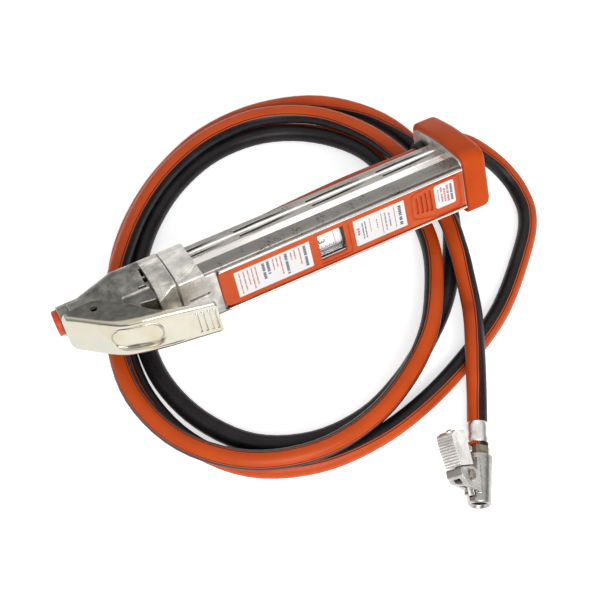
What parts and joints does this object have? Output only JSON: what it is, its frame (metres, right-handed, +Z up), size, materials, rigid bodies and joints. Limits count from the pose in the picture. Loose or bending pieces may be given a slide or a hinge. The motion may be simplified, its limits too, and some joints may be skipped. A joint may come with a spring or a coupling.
{
  "type": "tyre inflator with gauge",
  "caption": "Hand-held tyre inflator: long barrel with a sliding-scale gauge window, valve head with a squeeze lever, looped striped hose and a clip-on valve connector.",
  "frame": {"origin": "on the floor under the middle of the box round everything but the hose and its ferrule", "axes": "+X along the tool from its air inlet to its rubber buffer, +Z up from the floor that the hose lies on, +Y away from the label face side towards the back of the loops"},
  "size_m": [0.3367, 0.3428, 0.0816],
  "materials": {
    "bare_aluminium": "extruded and lightly polished, with fine streaks along its length",
    "cast_zinc": "bare die casting, dull and slightly stained",
    "plated_lever": "yellow-passivated zinc plate on pressed steel",
    "orange_plastic": "satin moulded",
    "orange_rubber": "smooth moulded rubber",
    "hose_rubber": "black rubber with an orange-red stripe",
    "black_rubber": "black moulded rubber",
    "clear_plastic": "clear moulded lens",
    "white_plastic": "white tube with a printed scale",
    "bright_steel": "bright plated steel",
    "turned_brass": "turned brass",
    "dark_plate": "dull plated hexagon"
  },
  "bodies": {
    "tool": {"barrel": "bare_aluminium", "adapter": "cast_zinc", "head_gasket": "black_rubber", "label_panel": "orange_plastic", "window_lens": "clear_plastic", "valve_head": "cast_zinc", "inlet_strainer": "turned_brass", "lever_pivot_pin": "bright_steel", "plunger_spring": "bright_steel", "valve_cap": "turned_brass", "gauge_cylinder": "bright_steel", "gauge_spring": "bright_steel", "cylinder_cap": "bright_steel", "end_flange": "bare_aluminium", "flange_screws": "bright_steel", "rubber_buffer": "orange_rubber", "hose_grommet": "black_rubber", "head_ferrule": "bare_aluminium", "hose": "hose_rubber", "connector_ferrule": "bare_aluminium", "hose_tail": "dark_plate", "connector_body": "cast_zinc", "valve_seal": "black_rubber", "core_depressor": "turned_brass", "lever_rivet": "bright_steel", "clip_spring": "bright_steel"},
    "trigger": {"trigger_lever": "plated_lever"},
    "plunger": {"valve_plunger": "turned_brass", "plunger_seal": "black_rubber"},
    "gauge_slide": {"gauge_piston": "turned_brass", "piston_seal": "black_rubber", "piston_rod": "bright_steel", "scale_sleeve": "white_plastic"},
    "plug": {"inlet_plug": "orange_plastic"},
    "thumb_lever": {"connector_lever": "cast_zinc"},
    "jaw": {"clip_jaw": "bright_steel"}
  },
  "joints": [
    {"name": "trigger_pivot", "type": "hinge", "parent": "tool", "child": "trigger", "pos_m": [-0.1224, 0.0723, 0.05387], "axis": [0, 0.4384, 0.8988], "range_deg": [0, 10], "stiffness_Nm_per_rad": 1.5, "springref_deg": -17.19, "deforming": ["plunger_spring"]},
    {"name": "plunger_slide", "type": "slide", "parent": "tool", "child": "plunger", "axis": [0, 0.8988, -0.4384], "range_m": [0, 0.0042], "deforming": ["plunger_spring"]},
    {"name": "gauge_slide_joint", "type": "slide", "parent": "tool", "child": "gauge_slide", "axis": [1, 0, 0], "range_m": [0, 0.034], "stiffness_N_per_m": 400, "springref_m": -0.004, "deforming": ["gauge_spring"]},
    {"name": "plug_pull", "type": "slide", "parent": "tool", "child": "plug", "axis": [-1, 0, 0], "range_m": [0, 0.015]},
    {"name": "thumb_lever_pivot", "type": "hinge", "parent": "tool", "child": "thumb_lever", "pos_m": [0.03941, -0.1048, 0.01986], "axis": [-0.6291, 0.3487, -0.6947], "range_deg": [0, 20], "stiffness_Nm_per_rad": 0.5, "springref_deg": -20.05, "deforming": ["clip_spring"]},
    {"name": "jaw_slide", "type": "slide", "parent": "tool", "child": "jaw", "axis": [-0.6076, 0.3368, 0.7193], "range_m": [0, 0.0016]}
  ],
  "couplings": [
    {"joint": "plunger_slide", "follows": "trigger_pivot", "m_per_rad": 0.0235},
    {"joint": "jaw_slide", "follows": "thumb_lever_pivot", "m_per_rad": 0.0043}
  ]
}
